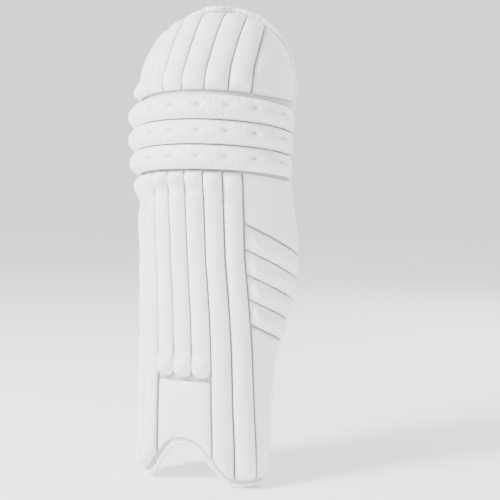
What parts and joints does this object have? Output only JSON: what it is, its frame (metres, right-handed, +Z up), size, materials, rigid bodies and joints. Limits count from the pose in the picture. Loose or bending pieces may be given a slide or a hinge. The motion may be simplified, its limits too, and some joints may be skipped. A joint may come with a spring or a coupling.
{
  "type": "cricket leg pad",
  "caption": "Cricket batting leg guard with horizontal knee rolls, vertical shin rolls, a quilted calf wing, a flexing top hat and hook-and-loop straps.",
  "frame": {"origin": "on the floor under the middle of the pad's width and depth, with the pad standing on its feet", "axes": "+Z up from the feet to the top hat, -Y the way the padded face looks, +Y the leg's side with the straps, +X the side with the calf wing"},
  "size_m": [0.25, 0.1589, 0.6959],
  "materials": {
    "white_leather": "satin smooth white coated leather",
    "lining": "soft white lining",
    "binding": "white edge binding",
    "webbing": "white twill webbing",
    "hook_tape": "rough white hook tape",
    "buckle_plastic": "moulded white plastic",
    "tab_rubber": "moulded white rubber",
    "label": "blank sewn patch",
    "cane": "natural cane"
  },
  "bodies": {
    "pad": {"moulded_face": "white_leather", "instep_panel": "white_leather", "plain_side_panel": "white_leather", "wing_upper_panel": "white_leather", "wing_lower_panel": "white_leather", "edge_binding": "binding", "shin_canes": "cane", "shin_pad": "lining", "wing_side_bolster": "lining", "plain_side_bolster": "lining", "knee_cushion_centre": "lining", "knee_cushion_wing_side": "lining", "knee_cushion_plain_side": "lining", "wing_lining": "lining", "ankle_lining_centre": "lining", "ankle_lining_wing_side": "lining", "ankle_lining_plain_side": "lining", "calf_yoke": "webbing", "calf_label": "label", "shin_roll_1": "white_leather", "shin_roll_2": "white_leather", "shin_roll_3": "white_leather", "shin_roll_4": "white_leather", "shin_roll_5": "white_leather", "shin_roll_6": "white_leather", "shin_roll_7": "white_leather", "knee_roll_1": "white_leather", "knee_roll_2": "white_leather", "knee_roll_3": "white_leather", "wing_quilt_1": "white_leather", "wing_quilt_2": "white_leather", "wing_quilt_3": "white_leather", "wing_quilt_4": "white_leather", "knee_band": "webbing", "knee_anchor": "webbing", "calf_band": "webbing", "calf_anchor": "webbing", "ankle_band": "webbing", "ankle_anchor": "webbing"},
    "top_hat": {"top_hat_face": "white_leather", "top_hat_side_panel": "white_leather", "top_hat_liner": "lining", "top_hat_binding": "binding", "top_hat_roll_1": "white_leather", "top_hat_roll_2": "white_leather", "top_hat_roll_3": "white_leather", "top_hat_roll_4": "white_leather", "top_hat_roll_5": "white_leather", "top_hat_roll_6": "white_leather", "top_hat_roll_7": "white_leather"},
    "knee_tail": {"knee_tail": "webbing", "knee_hook_tape": "hook_tape"},
    "knee_buckle": {"knee_buckle": "buckle_plastic"},
    "calf_tail": {"calf_tail": "webbing", "calf_hook_tape": "hook_tape"},
    "calf_buckle": {"calf_buckle": "buckle_plastic"},
    "ankle_tail": {"ankle_tail": "webbing", "ankle_hook_tape": "hook_tape"},
    "ankle_buckle": {"ankle_buckle": "buckle_plastic"},
    "pull_tab": {"ankle_pull_tab": "tab_rubber"}
  },
  "joints": [
    {"name": "top_hat_flex", "type": "hinge", "parent": "pad", "child": "top_hat", "pos_m": [0, -0.0435, 0.558], "axis": [-1, 0, 0], "range_deg": [-5, 5], "stiffness_Nm_per_rad": 8},
    {"name": "knee_tail_peel", "type": "hinge", "parent": "pad", "child": "knee_tail", "pos_m": [0.07925, 0.06511, 0.474], "axis": [0, 0, -1], "range_deg": [0, 90]},
    {"name": "knee_buckle_swivel", "type": "hinge", "parent": "pad", "child": "knee_buckle", "pos_m": [0.09346, 0.06085, 0.474], "axis": [0, 0, 1], "range_deg": [-3.5, 3.5]},
    {"name": "calf_tail_peel", "type": "hinge", "parent": "pad", "child": "calf_tail", "pos_m": [0.06421, 0.06365, 0.339], "axis": [0, 0, -1], "range_deg": [0, 90]},
    {"name": "calf_buckle_swivel", "type": "hinge", "parent": "pad", "child": "calf_buckle", "pos_m": [0.07853, 0.05979, 0.339], "axis": [0, 0, 1], "range_deg": [-3.5, 3.5]},
    {"name": "ankle_tail_peel", "type": "hinge", "parent": "pad", "child": "ankle_tail", "pos_m": [0.05707, 0.05289, 0.18], "axis": [0, 0, -1], "range_deg": [0, 90]},
    {"name": "ankle_buckle_swivel", "type": "hinge", "parent": "pad", "child": "ankle_buckle", "pos_m": [0.07162, 0.05, 0.18], "axis": [0, 0, 1], "range_deg": [-3.5, 3.5]},
    {"name": "pull_tab_lift", "type": "hinge", "parent": "ankle_tail", "child": "pull_tab", "pos_m": [-0.05712, 0.03767, 0.18], "axis": [0, 0, -1], "range_deg": [0, 35]}
  ]
}
